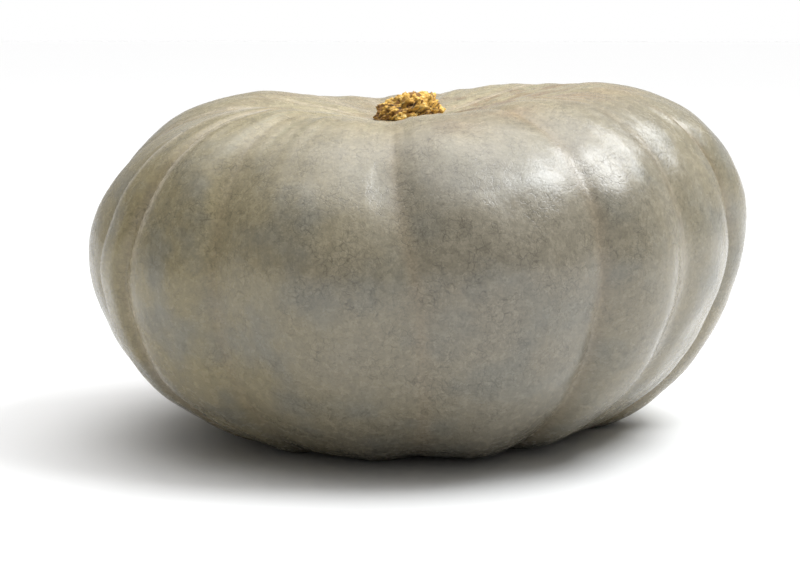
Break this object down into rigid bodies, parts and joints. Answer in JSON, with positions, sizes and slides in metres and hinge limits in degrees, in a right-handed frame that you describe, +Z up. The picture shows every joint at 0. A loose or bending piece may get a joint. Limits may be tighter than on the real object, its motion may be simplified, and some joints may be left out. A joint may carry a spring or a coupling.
{
  "type": "kabocha squash",
  "caption": "Whole grey ribbed winter squash, broad and flat, with a corky stem stub in the dip on top; rests on the flats under its lobes",
  "frame": {"origin": "on the floor plane, under the middle of the fruit's bounding box", "axes": "+Z up through the stem's end, +X to the right across the fruit's greatest width, -Y toward the front"},
  "size_m": [0.2976, 0.285, 0.1562],
  "materials": {
    "rind": "satin, waxy grey skin with fine dark hairline cracks and tan furrows",
    "cork": "rough crumbling golden-brown cork"
  },
  "bodies": {
    "root": {"squash": "rind", "stem": "cork"}
  },
  "joints": []
}
